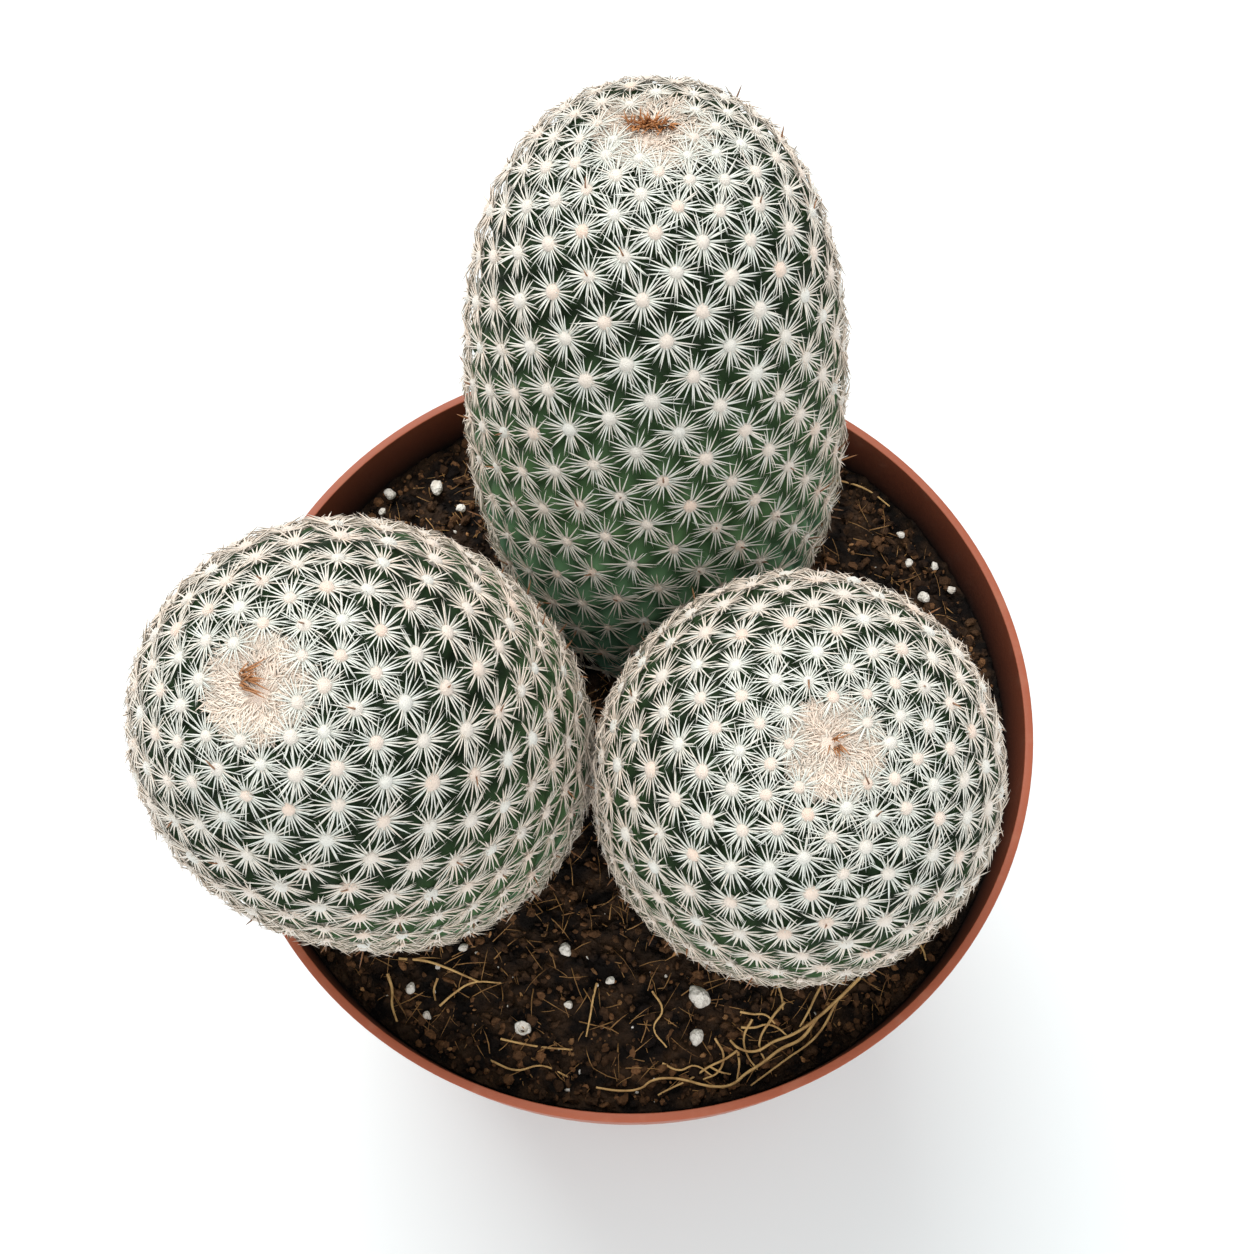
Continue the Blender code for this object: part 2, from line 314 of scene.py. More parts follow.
def foamed_perlite(name):
    """Off-white foamed grains, pitted and a little stained by the soil."""
    finish = Finish(name, {"Roughness": 0.95})
    stain = finish.steps(finish.noise(500, 5), 0.5, 0.8)
    finish.colour(finish.blend(stain * 0.6, PERLITE_WHITE, PERLITE_STAIN))
    finish.bump(finish.cells(1800) + finish.noise(3500, 4), 0.8, 0.0004)
    return finish.material


def dry_root(name, pale, dark):
    """Root fibre with darker bark left in places."""
    finish = Finish(name, {"Specular IOR Level": 0.35})
    bark = finish.steps(finish.noise(500, 5), 0.45, 0.75)
    finish.colour(finish.blend(bark, pale, dark))
    finish.roughness(0.55 + bark * 0.3)
    finish.bump(finish.noise(4000, 3), 0.5, 0.0002)
    return finish.material


# Shared modelling helpers


def settle(piece, name, finish, slot, *nodes):
    """Names a finished piece, gives it its material and says what it rides on and stands for."""
    piece.name = name
    piece.data.name = name
    piece.data.materials.clear()
    piece.data.materials.append(finish)
    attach(piece, "root")
    if nodes:
        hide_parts(*nodes)


def mesh_piece(name, points, faces, numbers=None):
    """A mesh object from points and faces, with a number on each point for every name in numbers."""
    mesh = bpy.data.meshes.new(name)
    mesh.from_pydata(points.tolist(), [], faces)
    for key, values in (numbers or {}).items():
        mesh.attributes.new(key, "FLOAT", "POINT").data.foreach_set("value", values.astype(np.float32))
    mesh.shade_smooth()
    piece = bpy.data.objects.new(name, mesh)
    bpy.context.scene.collection.objects.link(piece)
    return piece


def unit(vectors):
    return vectors / np.linalg.norm(vectors, axis=-1, keepdims=True)


# Rings of a bristle below its point: share of the length, and width against the base.
BRISTLE_RINGS = ((0, 1), (0.34, 0.92), (0.7, 0.62))


def bristle_mesh(name, base, course, lift, length, thickness, bend, tint):
    """Many tapered three-sided bristles in one mesh.

    Each grows from base along course, and bends against lift by bend x its length at the tip.
    """
    count = len(base)
    across = unit(np.cross(course, lift))
    over = np.cross(course, across)
    corners = 2 * math.pi * np.array([0.25, 0.25 + 1 / 3, 0.25 + 2 / 3])
    points = np.zeros((count, 10, 3))
    for row, (share, width) in enumerate(BRISTLE_RINGS):
        centre = base + course * (length * share)[:, None] - lift * (length * bend * share**2)[:, None]
        radius = (thickness / 2 * width)[:, None]
        for column, corner in enumerate(corners):
            ring = across * math.cos(corner) + over * math.sin(corner)
            points[:, 3 * row + column] = centre + ring * radius
    points[:, 9] = base + course * length[:, None] - lift * (length * bend)[:, None]
    pattern = [(2, 1, 0)]
    for row in (0, 3):
        pattern += [(row + a, row + b, row + 3 + b, row + 3 + a) for a, b in ((0, 1), (1, 2), (2, 0))]
    pattern += [(6 + a, 6 + b, 9) for a, b in ((0, 1), (1, 2), (2, 0))]
    faces = [tuple(10 * number + corner for corner in face) for number in range(count) for face in pattern]
    return mesh_piece(name, points.reshape(-1, 3), faces, {"tint": np.repeat(tint, 10)})


def ball_shape(add, **detail):
    """Points and faces of a ball of radius 1, made by a primitive and copied as a crumb or a hub of wool."""
    bpy.ops.object.select_all(action="DESELECT")
    add(radius=1, **detail)
    ball = bpy.context.object
    points = np.array([vert.co for vert in ball.data.vertices])
    faces = [tuple(face.vertices) for face in ball.data.polygons]
    bpy.data.objects.remove(ball, do_unlink=True)
    return points, faces


def blob_mesh(name, ball, centres, axes, tint, unevenness, draw):
    """Many uneven balls in one mesh. Row i of axes holds the three scaled axes of ball i."""
    points, faces = ball
    swell = 1 + unevenness * draw.uniform(-1, 1, (len(centres), len(points), 1))
    placed = centres[:, None] + np.einsum("pk,nkx->npx", points, axes) * swell
    all_faces = [tuple(len(points) * number + corner for corner in face)
                 for number in range(len(centres)) for face in faces]
    return mesh_piece(name, placed.reshape(-1, 3), all_faces, {"tint": np.repeat(tint, len(points))})


# The pot

POT_BASE_RADIUS = 43 * MM
POT_WALL = 1.25 * MM
POT_FLOOR = 1.5 * MM
LIP_HEIGHT = 11 * MM
LIP_STEP = 1.6 * MM
LIP_FLARE = 1.3 * MM
FIT_GAP = 0.35 * MM
DRAIN_HOLES = 8
DRAIN_HOLE_RADIUS = 3.5 * MM
DRAIN_HOLE_INSET = 10 * MM
SPIN_STEPS = 160
WELD = 0.02 * MM


def lip_edges():
    """Radius of the wall under the lip, of the lip's lower edge, and the height of both."""
    lip = POT_RIM_RADIUS - LIP_FLARE
    return lip - LIP_STEP, lip, POT_TOP - LIP_HEIGHT


def make_pot(finish):
    """A lathe-turned shell: an outline of the wall spun round, with rounded edges and drainage holes."""
    under_lip, lip, lip_bottom = lip_edges()
    outline = [
        (0, 0),
        (POT_BASE_RADIUS, 0),
        (under_lip, lip_bottom),
        (lip, lip_bottom),
        (POT_RIM_RADIUS, POT_TOP),
        (POT_RIM_RADIUS - POT_WALL, POT_TOP),
        (lip - POT_WALL, lip_bottom + POT_WALL),
        (under_lip - POT_WALL, lip_bottom + POT_WALL),
        (POT_BASE_RADIUS - POT_WALL, POT_FLOOR),
        (0, POT_FLOOR),
    ]
    mesh = bpy.data.meshes.new("pot_shell")
    edges = [(i, i + 1) for i in range(len(outline) - 1)]
    mesh.from_pydata([(radius, 0, height) for radius, height in outline], edges, [])
    pot = bpy.data.objects.new("pot_shell", mesh)
    bpy.context.scene.collection.objects.link(pot)
    bpy.ops.object.select_all(action="DESELECT")
    pot.select_set(True)
    bpy.context.view_layer.objects.active = pot
    bpy.ops.object.mode_set(mode="EDIT")
    bpy.ops.mesh.select_all(action="SELECT")
    bpy.ops.mesh.spin(steps=SPIN_STEPS, angle=2 * math.pi, center=(0, 0, 0), axis=(0, 0, 1))
    bpy.ops.mesh.select_all(action="SELECT")
    bpy.ops.mesh.remove_doubles(threshold=WELD)
    bpy.ops.mesh.normals_make_consistent(inside=False)
    bpy.ops.object.mode_set(mode="OBJECT")
    circle = POT_BASE_RADIUS - DRAIN_HOLE_INSET
    for number in range(DRAIN_HOLES):
        angle = 2 * math.pi * (number + 0.5) / DRAIN_HOLES
        place = (circle * math.cos(angle), circle * math.sin(angle), 0)
        bpy.ops.object.select_all(action="DESELECT")
        bpy.ops.mesh.primitive_cylinder_add(
            vertices=40, radius=DRAIN_HOLE_RADIUS, depth=8 * MM, location=place)
        drill = bpy.context.object
        apply_modifier(pot, "BOOLEAN", operation="DIFFERENCE", solver="EXACT", object=drill)
        bpy.data.objects.remove(drill, do_unlink=True)
    apply_modifier(pot, "BEVEL", width=0.35 * MM, segments=3, limit_method="ANGLE",
                   angle_limit=math.radians(35))
    smooth_by_angle(pot, 40)
    mark_painted_wall_shade(pot)
    settle(pot, "pot_shell", finish, "pot_plastic", "pot")


def mark_painted_wall_shade(pot):
    """A number on each point for the painted shade: 0 outside and on the rim's edge, 1 on the inner wall a
    little way down.
    """
    places = np.array([vert.co for vert in pot.data.vertices])
    under_lip, lip, lip_bottom = lip_edges()
    levels = [0, lip_bottom + 0.6 * MM, lip_bottom + 0.61 * MM, POT_TOP]
    outside = np.interp(places[:, 2], levels, [POT_BASE_RADIUS, under_lip, lip, POT_RIM_RADIUS])
    inner = np.hypot(places[:, 0], places[:, 1]) < outside - 0.6 * POT_WALL
    depth = (POT_TOP - places[:, 2]) / (0.3 * MM)
    above_base = places[:, 2] > POT_FLOOR * 0.5
    painted_wall_shade = np.where(inner & above_base, np.clip(depth, 0, 1), 0)
    pot.data.attributes.new("painted_wall_shade", "FLOAT", "POINT").data.foreach_set("value", painted_wall_shade.astype(np.float32))


def apply_modifier(piece, kind, **settings):
    bpy.ops.object.select_all(action="DESELECT")
    piece.select_set(True)
    bpy.context.view_layer.objects.active = piece
    modifier = piece.modifiers.new(kind.lower(), kind)
    for setting, value in settings.items():
        setattr(modifier, setting, value)
    bpy.ops.object.modifier_apply(modifier=modifier.name)


def smooth_by_angle(piece, degrees):
    bpy.ops.object.select_all(action="DESELECT")
    piece.select_set(True)
    bpy.context.view_layer.objects.active = piece
    bpy.ops.object.shade_smooth_by_angle(angle=math.radians(degrees))


# The stems

BURIED = 5 * MM
TUBERCLE_HEIGHT = 1.8 * MM
VALLEY_SHARPNESS = 2.3
CROWN_CROWDING = 0.42
GROWN_DISTANCE = 27 * MM
GROWING_POINT = 5 * MM
DRIFT_REACH = 20 * MM
CROWN_SINK = 2.2 * MM
CROWN_WIDTH = 6 * MM
SKIN_ROWS = 230
SKIN_COLUMNS = 300
SKIN_BATCH = 6000


class Stem:
    """A barrel-shaped stem on a bent axis: s runs along the axis from the soil to the crown.

    Its axis leans by lean_foot degrees at the soil and by lean_top at the crown, towards heading. The side
    swells from foot_share of the radius at the soil to the full radius, and closes over the last crown
    millimetres along a superellipse of the given power. drift moves the growing point off the top.
    """

    def __init__(self, name, foot, lean_foot, lean_top, heading, length, radius, crown, foot_share, power,
                 spacing, drift):
        self.name = name
        self.foot = np.array([foot[0] * MM, foot[1] * MM, SOIL_TOP])
        self.lean_foot = math.radians(lean_foot)
        self.bend = math.radians(lean_top - lean_foot) / (length * MM)
        self.forward = np.array([math.cos(math.radians(heading)), math.sin(math.radians(heading)), 0])
        self.across = np.array([-self.forward[1], self.forward[0], 0])
        self.length = length * MM
        self.radius = radius * MM
        self.crown = crown * MM
        self.foot_share = foot_share
        self.power = power
        self.spacing = spacing * MM
        ahead = self.forward * math.cos(math.radians(lean_top))
        self.drift = complex(self.across[:2] @ drift, -ahead[:2] @ drift) * MM
        self.measure()

    def side_radius(self, s):
        shoulder = self.length - self.crown
        side = self.radius * (1 - (1 - self.foot_share) * (1 - s / shoulder) ** 2)
        rise = np.clip((s - shoulder) / self.crown, 0, 1)
        cap = self.radius * (1 - rise**self.power) ** (1 / self.power)
        return np.where(s < shoulder, side, cap)

    def measure(self):
        """Rows from the crown down: distance over the skin, s, radius, slope and tubercle count."""
        turn = np.linspace(1, 0, 1500)
        s = -BURIED + (self.length + BURIED) * np.sin(turn * math.pi / 2)
        radius = self.side_radius(s)
        step = np.hypot(np.diff(s), np.diff(radius))
        self.skin = np.concatenate([[0], np.cumsum(step)])
        self.rows = s
        self.radii = radius
        self.slopes = np.arctan2(np.gradient(radius), -np.gradient(s) + 1e-12)
        middle = (radius[1:] + radius[:-1]) / 2
        crowding = self.crowding((self.skin[1:] + self.skin[:-1]) / 2)
        cell = (self.spacing * crowding) ** 2 * math.sqrt(3) / 2
        self.counts = np.concatenate([[0], np.cumsum(2 * math.pi * middle * step / cell)])

    def crowding(self, skin):
        """Size of a tubercle against the full-grown ones, at a distance over the skin from the crown."""
        return CROWN_CROWDING + (1 - CROWN_CROWDING) * np.clip(skin / GROWN_DISTANCE, 0, 1) ** 0.8

    def at(self, skin, angle):
        """Points of the smooth skin, their normals and their directions towards the crown."""
        s = np.interp(skin, self.skin, self.rows)
        radius = np.interp(skin, self.skin, self.radii)
        slope = np.interp(skin, self.skin, self.slopes)
        half_turn = self.bend * s / 2
        chord = s * np.sinc(half_turn / math.pi)
        lean = self.lean_foot + half_turn
        up = np.array([0, 0, 1])
        axis = chord[:, None] * (np.sin(lean)[:, None] * self.forward + np.cos(lean)[:, None] * up)
        lean = lean + half_turn
        along = np.sin(lean)[:, None] * self.forward + np.cos(lean)[:, None] * up
        out = np.cross(along, self.across)
        round_it = np.cos(angle)[:, None] * self.across + np.sin(angle)[:, None] * out
        sink = CROWN_SINK * np.exp(-((np.abs(skin * np.exp(1j * angle) - self.drift) / CROWN_WIDTH) ** 2))
        points = self.foot + axis + round_it * radius[:, None] - along * sink[:, None]
        normal = round_it * np.cos(slope)[:, None] + along * np.sin(slope)[:, None]
        upward = along * np.cos(slope)[:, None] - round_it * np.sin(slope)[:, None]
        return points, normal, upward

    def round_crown(self, skin, angle):
        """Places given round the growing point, moved to where it stands off the stem's top."""
        flat = skin * np.exp(1j * angle) + self.drift * np.exp(-((skin / DRIFT_REACH) ** 2))
        return np.abs(flat), np.angle(flat)

    def tubercles(self):
        """Tubercle tips in the order they grew: distance over the skin and angle round the stem."""
        number = np.arange(int(np.interp(self.skin[-1] - 2 * MM, self.skin, self.counts)))
        skin = np.interp(number + 0.5, self.counts, self.skin)
        grown = skin > GROWING_POINT
        return self.round_crown(skin[grown], number[grown] * GOLDEN_ANGLE)


def make_skin(stem, finish):
    """The green body: a fine skin raised into a rounded cone at every tubercle."""
    tip_skin, tip_angle = stem.tubercles()
    tips = stem.at(tip_skin, tip_angle)[0]
    skin = np.repeat(stem.skin[-1] * np.linspace(0.002, 1, SKIN_ROWS), SKIN_COLUMNS)
    angle = np.tile(2 * math.pi * np.arange(SKIN_COLUMNS) / SKIN_COLUMNS, SKIN_ROWS)
    points, normal, _ = stem.at(skin, angle)
    relief = np.empty(len(points))
    for start in range(0, len(points), SKIN_BATCH):
        part = slice(start, start + SKIN_BATCH)
        gaps = np.linalg.norm(points[part, None] - tips[None], axis=2)
        nearest = np.partition(gaps, 1, axis=1)[:, :2]
        relief[part] = (nearest[:, 1] - nearest[:, 0]) / nearest.sum(axis=1)
    rise = 0.12 - (1 - relief) ** VALLEY_SHARPNESS
    points = points + normal * (rise * TUBERCLE_HEIGHT * stem.crowding(skin))[:, None]
    faces = []
    for row in range(SKIN_ROWS - 1):
        for column in range(SKIN_COLUMNS):
            after = (column + 1) % SKIN_COLUMNS
            upper, lower = row * SKIN_COLUMNS, (row + 1) * SKIN_COLUMNS
            faces.append((upper + column, lower + column, lower + after, upper + after))
    faces.append(tuple(range(SKIN_COLUMNS)))
    faces.append(tuple(reversed(range(len(points) - SKIN_COLUMNS, len(points)))))
    age = skin / stem.skin[-1]
    piece = mesh_piece("skin_" + stem.name, points, faces, {"relief": relief, "age": age})
    settle(piece, "skin_" + stem.name, finish, "cactus_skin", "cactus_" + stem.name)


# Areoles: the wool and spines on the tubercles

RADIAL_SPINES = 30
INNER_SPINES = 7
# Direction that the painted light on the spines is measured against.
SUNNY_SIDE = np.array([0, -0.35, 0.94])


class Areoles:
    """A stem's tubercle tips: their places and directions, and how grown, weathered and shaded each is."""

    def __init__(self, stem):
        skin, angle = stem.tubercles()
        self.tips, self.normal, self.upward = stem.at(skin, angle)
        self.sideways = np.cross(self.upward, self.normal)
        self.count = len(self.tips)
        self.size = stem.crowding(skin) ** 0.45
        self.weathered = np.clip(2.5 * skin / stem.skin[-1] - 1, 0, 1)
        # Painted light: tips turned away from SUNNY_SIDE get their spines painted a lighter, warmer cream.
        self.shaded = np.clip(1.25 - 1.5 * self.normal @ SUNNY_SIDE, 0, 1)
        self.spacing = stem.spacing

    def around(self, turn):
        """Level directions out from each tubercle, for rows of turns about its normal."""
        down = np.cos(turn)[..., None] * -self.upward[:, None]
        return down + np.sin(turn)[..., None] * self.sideways[:, None]


def make_wool(areoles, draw):
    """A low button of felt on every tubercle."""
    count, size, normal = areoles.count, areoles.size, areoles.normal
    half_width = (1.0 + 0.25 * draw.random(count)) * MM * size * (1 - 0.4 * areoles.weathered)
    axes = np.stack([areoles.sideways * half_width[:, None], areoles.upward * half_width[:, None],
                     normal * (half_width * 0.65)[:, None]], axis=1)
    tint = np.clip(draw.normal(0.35, 0.3, count) + 0.3 * (size < 0.75) + 0.4 * areoles.weathered, 0, 1)
    button = ball_shape(bpy.ops.mesh.primitive_uv_sphere_add, segments=8, ring_count=4)
    return blob_mesh("wool", button, areoles.tips + normal * 0.35 * MM, axes, tint, 0.1, draw)


def make_radials(areoles, draw):
    """A flat star of spines on every tubercle, thinner and with some lost where it is weathered."""
    shape = (areoles.count, RADIAL_SPINES)
    size, weathered, normal = areoles.size, areoles.weathered, areoles.normal
    turn = 2 * math.pi * (np.arange(RADIAL_SPINES)[None] + 0.45 * draw.uniform(-1, 1, shape)) / RADIAL_SPINES
    turn = turn - 0.18 * np.sin(turn)
    raised = np.radians(draw.uniform(3, 20, shape))
    flat = areoles.around(turn)
    course = flat * np.cos(raised)[..., None] + normal[:, None] * np.sin(raised)[..., None]
    length = draw.uniform(0.48, 0.70, shape) * areoles.spacing * size[:, None]
    thickness = draw.uniform(0.25, 0.33, shape) * MM * (size * (1 - 0.2 * weathered))[:, None]
    base = areoles.tips[:, None] + normal[:, None] * 0.35 * MM + flat * (0.25 * MM * size)[:, None, None]
    # Painted light: the flank spines, turned from SUNNY_SIDE, are tinted cream, plus a random spread.
    tint = np.clip(0.9 * areoles.shaded[:, None] + draw.normal(0.05, 0.15, shape), 0, 1)
    lift = np.broadcast_to(normal[:, None], course.shape)
    kept = draw.random(shape) > 0.35 * weathered[:, None]
    return bristle_mesh("spines", base[kept], course[kept], lift[kept], length[kept], thickness[kept],
                        draw.uniform(0.02, 0.16, shape)[kept], tint[kept])


def make_inner_spines(areoles, draw):
    """Short white spines that rise steeply round the middle of every star."""
    place = np.repeat(np.arange(areoles.count), INNER_SPINES)
    size, weathered = areoles.size[place], areoles.weathered[place]
    normal, upward, sideways = areoles.normal[place], areoles.upward[place], areoles.sideways[place]
    turn = draw.uniform(0, 2 * math.pi, len(place))[:, None]
    raised = np.radians(draw.uniform(8, 40, len(place)))[:, None]
    flat = np.cos(turn) * -upward + np.sin(turn) * sideways
    course = flat * np.cos(raised) + normal * np.sin(raised)
    base = areoles.tips[place] + normal * 0.5 * MM + flat * 0.2 * MM
    length = draw.uniform(0.8, 1.5, len(place)) * MM * (size * (1 - 0.3 * weathered))
    thickness = draw.uniform(0.2, 0.28, len(place)) * MM * size
    bend = draw.uniform(0, 0.2, len(place))
    # Painted light: the flank spines, turned from SUNNY_SIDE, are tinted cream, plus a random spread.
    tint = np.clip(0.7 * areoles.shaded[place] + draw.normal(0.15, 0.25, len(place)), 0, 1)
    return bristle_mesh("inner", base, course, normal, length, thickness, bend, tint)


def make_centrals(areoles, draw):
    """A brown spine that points towards the crown, on few young tubercles and on most weathered ones."""
    chosen = np.flatnonzero(draw.random(areoles.count) < 0.06 + 0.75 * areoles.weathered)
    tilt = draw.uniform(-0.6, 0.6, (len(chosen), 2))
    normal, upward, sideways = areoles.normal[chosen], areoles.upward[chosen], areoles.sideways[chosen]
    course = unit(normal + tilt[:, :1] * sideways + (1 + tilt[:, 1:]) * upward)
    length = draw.uniform(1.5, 3.0, len(chosen)) * MM
    thickness = np.full(len(chosen), 0.3 * MM)
    bend = draw.uniform(-0.1, 0.2, len(chosen))
    tint = draw.uniform(0.6, 1, len(chosen))
    base = areoles.tips[chosen] + normal * 0.8 * MM
    return bristle_mesh("centrals", base, course, normal, length, thickness, bend, tint)


def make_areoles(stem, finishes, seed):
    """Wool, a star of white spines and now and then a brown central on every tubercle."""
    draw = np.random.default_rng(seed)
    areoles = Areoles(stem)
    settle(make_wool(areoles, draw), "areole_wool_" + stem.name, finishes["wool"], "cactus_skin")
    settle(make_radials(areoles, draw), "radial_spines_" + stem.name, finishes["white"], "cactus_skin")
    settle(make_inner_spines(areoles, draw), "inner_spines_" + stem.name, finishes["white"], "cactus_skin")
    settle(make_centrals(areoles, draw), "central_spines_" + stem.name, finishes["brown"], "cactus_skin")


# Crowns

CROWN_HAIRS = 2400
CROWN_WOOL_RADIUS = 5.6 * MM
FELT_HALF_WIDTH = 4.4
FELT_HALF_THICKNESS = 0.5 * MM


class Tuft(NamedTuple):
    """A crown's young spines and its felt, in millimetres.

    The tuft stands aside of the growing point, leans, and spreads two ways.
    """

    aside: tuple
    leaning: tuple
    spread: tuple
    number: int
    longest: float
    thick: float
    tint: float
    felt: tuple


def make_crown(stem, finishes, tuft, seed):
    """The growing point: woolly hairs and felt in the sunken crown, and a tuft of young brown spines."""
    draw = np.random.default_rng(seed)
    settle(make_hairs(stem, tuft, draw), "crown_wool_" + stem.name, finishes["white"], "cactus_skin")
    top, normal, upward = stem.at(*stem.round_crown(np.zeros(1), np.zeros(1)))
    sideways = np.cross(upward, normal)
    axes = np.stack([sideways * tuft.felt[0] * MM, upward * tuft.felt[1] * MM, normal * FELT_HALF_THICKNESS],
                    axis=1)
    pad_shape = ball_shape(bpy.ops.mesh.primitive_ico_sphere_add, subdivisions=4)
    pad = blob_mesh("felt", pad_shape, top - normal * 0.3 * MM, axes, np.array([0.75]), 0.08, draw)
    settle(pad, "crown_felt_" + stem.name, finishes["wool"], "cactus_skin")
    young = make_young_spines(tuft, top, normal, draw)
    settle(young, "crown_tuft_" + stem.name, finishes["brown"], "cactus_skin")


def make_hairs(stem, tuft, draw):
    """Short curly hairs all over the crown."""
    count = CROWN_HAIRS
    reach = CROWN_WOOL_RADIUS + (tuft.felt[0] - FELT_HALF_WIDTH) * 0.7 * MM
    skin = reach * np.sqrt(draw.random(count))
    angle = draw.uniform(0, 2 * math.pi, count)
    points, normal, upward = stem.at(*stem.round_crown(skin, angle))
    sideways = np.cross(upward, normal)
    swirl = draw.uniform(-1.2, 1.2, count)[:, None]
    upright = normal * draw.uniform(0.1, 0.9, (count, 1))
    course = unit(-upward * np.cos(swirl) + sideways * np.sin(swirl) + upright)
    length = draw.uniform(1.2, 2.8, count) * MM
    thickness = draw.uniform(0.16, 0.3, count) * MM
    bend = draw.uniform(0.1, 0.5, count)
    tint = np.clip(draw.normal(0.8, 0.25, count), 0, 1)
    return bristle_mesh("hairs", points - normal * 0.1 * MM, course, normal, length, thickness, bend, tint)


def make_young_spines(tuft, top, normal, draw):
    """A fan of young spines beside the growing point."""
    number = tuft.number
    disc = np.sqrt(draw.random(number)) * np.exp(1j * draw.uniform(0, 2 * math.pi, number))
    shift = np.column_stack([tuft.aside[0] + tuft.spread[0] * disc.real,
                             tuft.aside[1] + tuft.spread[1] * disc.imag, np.zeros(number)]) * MM
    points = top + shift - (shift @ normal[0])[:, None] * normal
    outward = np.column_stack([disc.real, disc.imag, np.zeros(number)])
    scatter = draw.uniform(-0.7, 0.7, (number, 3))
    course = unit(normal + np.array([*tuft.leaning, 0]) + 0.4 * outward + scatter)
    normals = np.repeat(normal, number, axis=0)
    length = draw.uniform(0.5, 1, number) * tuft.longest * MM
    bend = draw.uniform(-0.1, 0.4, number)
    tint = np.clip(draw.normal(tuft.tint, 0.2, number), 0, 1)
    return bristle_mesh("young", points + normals * 0.5 * MM, course, normals, length,
                        np.full(number, tuft.thick * MM), bend, tint)


STEMS = (
    (Stem("back", foot=(4.4, 23.6), lean_foot=22.6, lean_top=23, heading=93, length=85.5, radius=26.5,
          crown=53, foot_share=0.69, power=2.6, spacing=6.5, drift=(0, -2.8)),
     Tuft(aside=(-0.2, 2.5), leaning=(0, -0.7), spread=(3.1, 0.7), number=90, longest=3.0, thick=0.34,
          tint=0.1, felt=(6.4, 4.2))),
    (Stem("left", foot=(-28.4, -7.2), lean_foot=12, lean_top=17, heading=229, length=85.5, radius=27.1,
          crown=50, foot_share=0.71, power=2.2, spacing=6.6, drift=(0, 0.4)),
     Tuft(aside=(-1.7, 1.0), leaning=(1.3, 0), spread=(0.5, 1.1), number=20, longest=4.2, thick=0.3,
          tint=0.35, felt=(4.6, 4.6))),
    (Stem("right", foot=(20.3, -12.8), lean_foot=9.5, lean_top=10, heading=-72, length=67.5, radius=26.4,
          crown=35, foot_share=0.67, power=2.3, spacing=6.3, drift=(0.5, -1.0)),
     Tuft(aside=(0.1, 0.8), leaning=(0.1, -0.5), spread=(0.7, 0.7), number=18, longest=3.0, thick=0.22,
          tint=0.2, felt=(4.2, 4.2))),
)


# Soil, perlite and roots

SOIL_DROP = 9 * MM
SOIL_EDGE = POT_RIM_RADIUS - POT_WALL - LIP_FLARE * SOIL_DROP / LIP_HEIGHT - FIT_GAP
STEM_CLEARANCE = 16 * MM
SOIL_CELLS = 260
HOLLOW_GRAIN = 13
ROOT_LIFT = 0.5


def on_soil(draw, count, inner=0.0):
    """Random places on the soil, clear of the stems' feet."""
    places = []
    while len(places) < count:
        radius = SOIL_EDGE * math.sqrt(draw.uniform(inner, 0.99))
        angle = draw.uniform(0, 2 * math.pi)
        spot = np.array([radius * math.cos(angle), radius * math.sin(angle)])
        if all(np.linalg.norm(spot - stem.foot[:2]) > STEM_CLEARANCE for stem, _ in STEMS):
            places.append(spot)
    return np.array(places)


def soil_height(x, y):
    """Height of the soil above its level: low waves and lumps, the same formula for all that lies on it."""
    x, y = x / MM, y / MM
    waves = 0.45 * np.sin(x * 0.31 + 1.1) * np.cos(y * 0.27 + 0.4) + 0.25 * np.sin(x * 0.83 + y * 0.61)
    lumps = 0.22 * np.sin(x * 1.9 + 0.7 * np.sin(y * 1.3)) * np.sin(y * 2.1 + 0.9 * np.sin(x * 1.1))
    return (waves + lumps) * MM


def make_soil(finish):
    """The root ball: a disc of peat with a broken surface, closed down to the pot's floor."""
    line = np.linspace(-1, 1, SOIL_CELLS + 1)
    a, b = np.meshgrid(line, line, indexing="ij")
    x = a * np.sqrt(1 - b**2 / 2) * SOIL_EDGE
    y = b * np.sqrt(1 - a**2 / 2) * SOIL_EDGE
    points = np.stack([x, y, SOIL_TOP + soil_height(x, y)], axis=-1).reshape(-1, 3)
    row = SOIL_CELLS + 1
    faces = [(i * row + j, (i + 1) * row + j, (i + 1) * row + j + 1, i * row + j + 1)
             for i in range(SOIL_CELLS) for j in range(SOIL_CELLS)]
    soil = mesh_piece("soil", points, faces)
    lumps = bpy.data.textures.new("lumps", "CLOUDS")
    lumps.noise_scale = 2.2 * MM
    lumps.noise_depth = 5
    apply_modifier(soil, "DISPLACE", texture=lumps, texture_coords="LOCAL", strength=3.2 * MM, mid_level=0.5,
                   direction="Z")
    under_lip, lip, lip_bottom = lip_edges()
    bpy.ops.object.mode_set(mode="EDIT")
    bpy.ops.mesh.select_all(action="SELECT")
    bpy.ops.mesh.region_to_loop()
    inset = POT_WALL + FIT_GAP
    levels = [(lip - inset, lip_bottom + inset), (under_lip - inset, lip_bottom + inset),
              (POT_BASE_RADIUS - inset, POT_FLOOR + FIT_GAP)]
    reach = SOIL_EDGE
    for radius, height in levels:
        bpy.ops.mesh.extrude_edges_indiv()
        share = radius / reach
        bpy.ops.transform.resize(value=(share, share, 0), center_override=(0, 0, height))
        reach = radius
    bpy.ops.mesh.edge_face_add()
    bpy.ops.mesh.select_all(action="SELECT")
    bpy.ops.mesh.normals_make_consistent(inside=False)
    bpy.ops.object.mode_set(mode="OBJECT")
    settle(soil, "soil_ball", finish, "peat", "soil")


